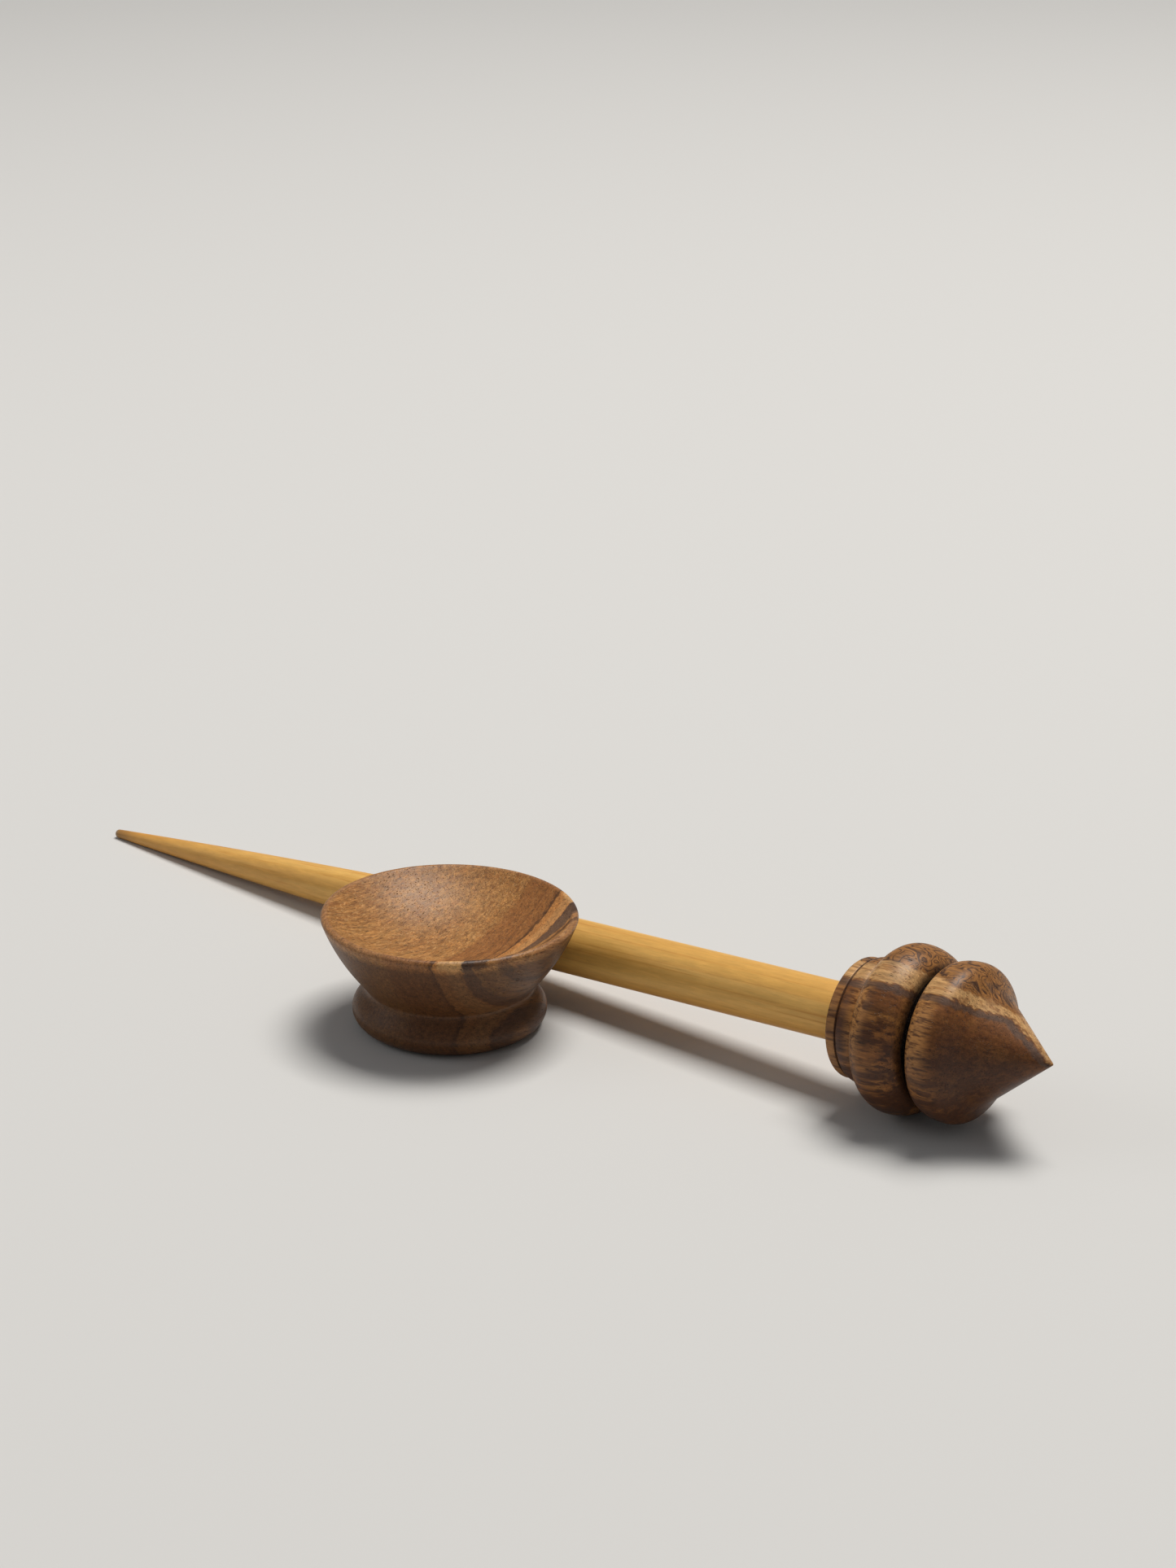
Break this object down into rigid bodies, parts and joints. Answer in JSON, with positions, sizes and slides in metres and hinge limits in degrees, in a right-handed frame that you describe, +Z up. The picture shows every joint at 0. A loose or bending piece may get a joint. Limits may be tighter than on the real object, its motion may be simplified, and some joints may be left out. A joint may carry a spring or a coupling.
{
  "type": "support spindle with spinning bowl",
  "caption": "Supported hand spindle with a tapered pale wood shaft and a beaded walnut whorl ending in a cone point, lying behind its footed walnut spinning bowl.",
  "frame": {"origin": "centre of the flat underside of the bowl's foot, on the surface that the set stands on", "axes": "+X along the lying spindle from the shaft's thin tip to the whorl's point, seen from above; +Y from the bowl towards the spindle; +Z up"},
  "size_m": [0.2694, 0.0746, 0.0359],
  "materials": {
    "fruitwood": "satin oil on pale, close-grained wood with faint long streaks",
    "walnut_whorl": "satin oil on brown walnut with open dark pores and a pale sapwood streak",
    "walnut_bowl": "satin oil on brown walnut with short dark pores and curved growth rings"
  },
  "bodies": {
    "bowl": {"bowl": "walnut_bowl"},
    "spindle": {"shaft": "fruitwood", "whorl": "walnut_whorl"}
  },
  "joints": [
    {"name": "spindle_spin", "type": "hinge", "parent": "bowl", "child": "spindle", "pos_m": [-0.1347, 0.02858, 0.00098], "axis": [0.9974, 0, 0.072], "continuous": true}
  ]
}
